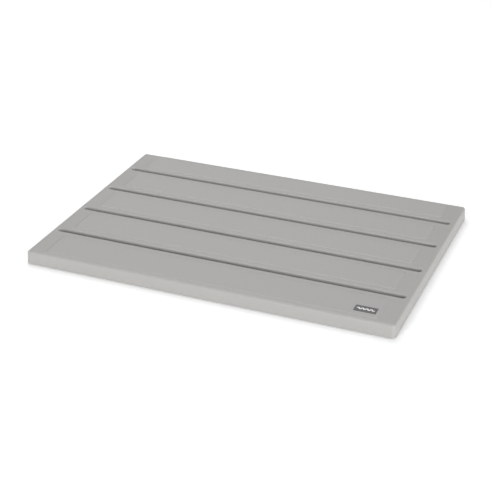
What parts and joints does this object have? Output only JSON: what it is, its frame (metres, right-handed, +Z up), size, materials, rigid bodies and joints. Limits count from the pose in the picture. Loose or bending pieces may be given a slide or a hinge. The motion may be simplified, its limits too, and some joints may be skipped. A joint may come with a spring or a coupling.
{
  "type": "shower board",
  "caption": "Low rectangular slatted board for a wet shower floor, with long rounded drain slots, flush tread pads, a thin skirt and hidden rubber feet.",
  "frame": {"origin": "on the floor that the feet stand on, under the middle of the board's bounding box", "axes": "+X along the slats, towards the end with the nameplate; -Y towards the front edge with the nameplate; +Z up, the side that is trodden on"},
  "size_m": [0.5, 0.35, 0.02],
  "materials": {
    "deck_plastic": "satin moulded",
    "tread_pad": "matte, very fine grain",
    "plate_film": "satin",
    "mark_ink": "printed, satin",
    "foot_rubber": "matte"
  },
  "bodies": {
    "root": {"deck_shell": "deck_plastic", "tread_pad_1": "tread_pad", "tread_pad_2": "tread_pad", "tread_pad_3": "tread_pad", "tread_pad_4": "tread_pad", "tread_pad_5": "tread_pad", "nameplate": "plate_film", "nameplate_wave": "mark_ink", "rubber_foot_01": "foot_rubber", "rubber_foot_02": "foot_rubber", "rubber_foot_03": "foot_rubber", "rubber_foot_04": "foot_rubber", "rubber_foot_05": "foot_rubber", "rubber_foot_06": "foot_rubber", "rubber_foot_07": "foot_rubber", "rubber_foot_08": "foot_rubber", "rubber_foot_09": "foot_rubber", "rubber_foot_10": "foot_rubber", "rubber_foot_11": "foot_rubber", "rubber_foot_12": "foot_rubber"}
  },
  "joints": []
}
